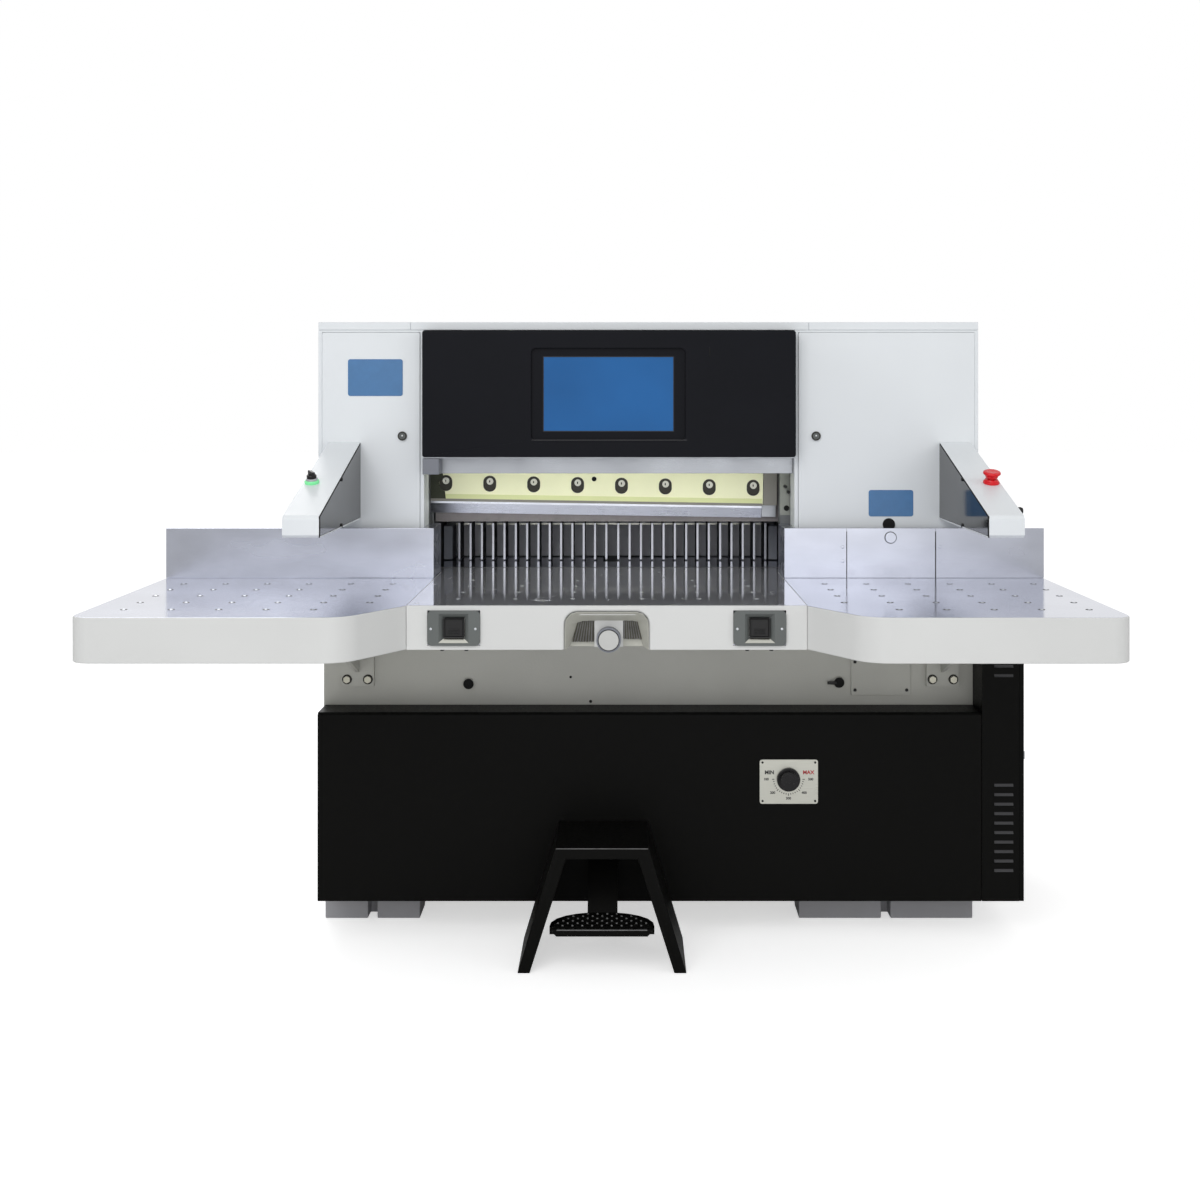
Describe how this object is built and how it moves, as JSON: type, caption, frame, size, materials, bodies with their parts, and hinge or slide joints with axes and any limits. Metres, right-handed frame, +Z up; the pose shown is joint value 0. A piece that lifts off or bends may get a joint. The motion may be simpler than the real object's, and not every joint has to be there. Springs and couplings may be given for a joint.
{
  "type": "industrial paper cutter",
  "caption": "Floor-standing hydraulic paper guillotine with swing-cut knife, slotted clamp, driven comb backgauge, side tables, light barrier arms, two-hand buttons and clamp pedal.",
  "frame": {"origin": "middle of the machine's bounding box on the floor", "axes": "+Z up, the operator's side towards -Y, +X to the operator's right"},
  "size_m": [2.17, 2.05, 1.535],
  "materials": {
    "white_enamel": "fine textured white powder coat",
    "apron_enamel": "smooth off-white enamel",
    "grey_enamel": "warm grey enamel",
    "bed_casting": "warm grey enamel on cast iron",
    "black_enamel": "fine textured black powder coat",
    "head_plastic": "satin black moulding",
    "screen_glass": "plain blue screen",
    "polished_table": "polished, chromed cast iron",
    "polished_steel": "bright polished steel",
    "brushed_steel": "brushed steel",
    "brushed_aluminium": "brushed aluminium",
    "knife_steel": "ground tool steel",
    "knife_beam_enamel": "pale yellow-green enamel on cast iron",
    "clamp_iron": "ground cast iron",
    "cast_iron": "primed cast iron",
    "zinc_housing": "dark painted housing",
    "tank_enamel": "blue-grey enamel",
    "stick_plastic": "plain plastic bar",
    "button_plastic": "grey moulding",
    "black_plastic": "black moulding",
    "red_plastic": "red moulding",
    "green_lens": "lit green lens",
    "window_acrylic": "dark tinted acrylic over the light barrier",
    "label_film": "plain blue film plate, blank",
    "pedal_rubber": "dimpled rubber pad",
    "lamp_lens": "lit lamp strip over the cut",
    "brush_nylon": "black brush filaments",
    "zinc_screw": "zinc plated screws",
    "black_screw": "blackened screws and glands"
  },
  "bodies": {
    "machine": {"left_foot": "grey_enamel", "right_foot": "grey_enamel", "machine_bed": "bed_casting", "service_panel": "grey_enamel", "base_front_cover": "black_enamel", "electric_cabinet": "black_enamel", "drive_unit": "zinc_housing", "hydraulic_unit": "tank_enamel", "left_upright": "cast_iron", "right_upright": "cast_iron", "cross_beam": "cast_iron", "knife_cylinder": "cast_iron", "screw_channel": "cast_iron", "gauge_motor": "zinc_housing", "main_table": "polished_table", "rear_table": "polished_table", "cutting_stick": "stick_plastic", "front_apron": "apron_enamel", "handwheel_recess": "black_enamel", "left_button_plate": "button_plastic", "right_button_plate": "button_plastic", "left_side_table": "polished_table", "right_side_table": "polished_table", "left_fence": "polished_steel", "right_fence": "polished_steel", "right_outer_fence": "polished_steel", "rear_hood": "white_enamel", "left_tower_cover": "white_enamel", "right_tower_cover": "white_enamel", "left_front_panel": "white_enamel", "right_front_panel": "white_enamel", "top_cap": "white_enamel", "head_rear_cover": "white_enamel", "head_panel": "head_plastic", "display_screen": "screen_glass", "head_trim_strip": "brushed_steel", "left_barrier_arm": "white_enamel", "right_barrier_arm": "white_enamel", "selector_ring": "green_lens", "pedal_bracket": "black_enamel", "pedal_guard": "black_enamel", "pressure_dial_plate": "brushed_aluminium"},
    "knife_rod": {"knife_piston_rod": "polished_steel"},
    "knife_unit": {"knife_beam": "knife_beam_enamel", "knife": "knife_steel"},
    "clamp": {"clamp_beam": "clamp_iron"},
    "backgauge": {"backgauge_comb": "brushed_aluminium", "backgauge_carriage": "cast_iron"},
    "screw": {"lead_screw": "polished_steel"},
    "handwheel": {"handwheel": "brushed_steel"},
    "left_button": {"left_cut_button": "black_plastic"},
    "right_button": {"right_cut_button": "black_plastic"},
    "pedal": {"clamp_pedal": "black_enamel"},
    "dial": {"pressure_dial": "black_plastic"},
    "selector": {"mode_selector": "black_plastic"},
    "stop": {"emergency_stop": "red_plastic"},
    "left_lock": {"left_panel_lock": "brushed_steel"},
    "right_lock": {"right_panel_lock": "brushed_steel"},
    "door": {"cabinet_door": "black_enamel"},
    "latch": {"cabinet_latch": "brushed_steel"}
  },
  "joints": [
    {"name": "knife_stroke", "type": "slide", "parent": "machine", "child": "knife_rod", "axis": [0.481, 0, -0.8767], "range_m": [0, 0.1559], "stiffness_N_per_m": 8000, "springref_m": -0.12},
    {"name": "knife_swing", "type": "hinge", "parent": "knife_rod", "child": "knife_unit", "pos_m": [-0.016, -0.18, 1.195], "axis": [0, -1, 0], "range_deg": [0, 0.9]},
    {"name": "clamp_travel", "type": "slide", "parent": "machine", "child": "clamp", "axis": [0, 0, -1], "range_m": [0, 0.119], "stiffness_N_per_m": 20000, "springref_m": -0.06},
    {"name": "backgauge_travel", "type": "slide", "parent": "machine", "child": "backgauge", "axis": [0, 1, 0], "range_m": [-0.13, 0.765]},
    {"name": "lead_screw_spin", "type": "hinge", "parent": "machine", "child": "screw", "pos_m": [0.01, 0.3, 0.815], "axis": [0, 1, 0], "continuous": true},
    {"name": "handwheel_turn", "type": "hinge", "parent": "machine", "child": "handwheel", "pos_m": [0.014, -0.84, 0.825], "axis": [0, -1, 0], "continuous": true},
    {"name": "left_button_press", "type": "slide", "parent": "machine", "child": "left_button", "axis": [0, 1, 0], "range_m": [0, 0.004], "stiffness_N_per_m": 400, "springref_m": -0.004},
    {"name": "right_button_press", "type": "slide", "parent": "machine", "child": "right_button", "axis": [0, 1, 0], "range_m": [0, 0.004], "stiffness_N_per_m": 400, "springref_m": -0.004},
    {"name": "pedal_press", "type": "hinge", "parent": "machine", "child": "pedal", "pos_m": [-0.0045, -0.384, 0.23], "axis": [1, 0, 0], "range_deg": [0, 12], "stiffness_Nm_per_rad": 40, "springref_deg": -17.19},
    {"name": "dial_turn", "type": "hinge", "parent": "machine", "child": "dial", "pos_m": [0.4564, -0.37, 0.3956], "axis": [0, -1, 0], "range_deg": [-135, 135]},
    {"name": "selector_turn", "type": "hinge", "parent": "machine", "child": "selector", "pos_m": [-0.671, -0.634, 1.14987], "axis": [0, -0.2838, 0.9589], "range_deg": [-45, 45]},
    {"name": "stop_press", "type": "slide", "parent": "machine", "child": "stop", "axis": [0, 0.2838, -0.9589], "range_m": [0, 0.004]},
    {"name": "left_lock_turn", "type": "hinge", "parent": "machine", "child": "left_lock", "pos_m": [-0.507, -0.348, 1.25], "axis": [0, -1, 0], "range_deg": [0, 90]},
    {"name": "right_lock_turn", "type": "hinge", "parent": "machine", "child": "right_lock", "pos_m": [0.527, -0.348, 1.25], "axis": [0, -1, 0], "range_deg": [0, 90]},
    {"name": "door_swing", "type": "hinge", "parent": "machine", "child": "door", "pos_m": [1.0521, 0.252, 0.4455], "axis": [0, 0, 1], "range_deg": [0, 110]},
    {"name": "latch_turn", "type": "hinge", "parent": "door", "child": "latch", "pos_m": [1.0318, -0.32, 0.4455], "axis": [1, 0, 0], "range_deg": [0, 90]}
  ],
  "couplings": [
    {"joint": "knife_swing", "follows": "knife_stroke", "rad_per_m": 0.1007},
    {"joint": "lead_screw_spin", "follows": "backgauge_travel", "rad_per_m": 314.16}
  ]
}
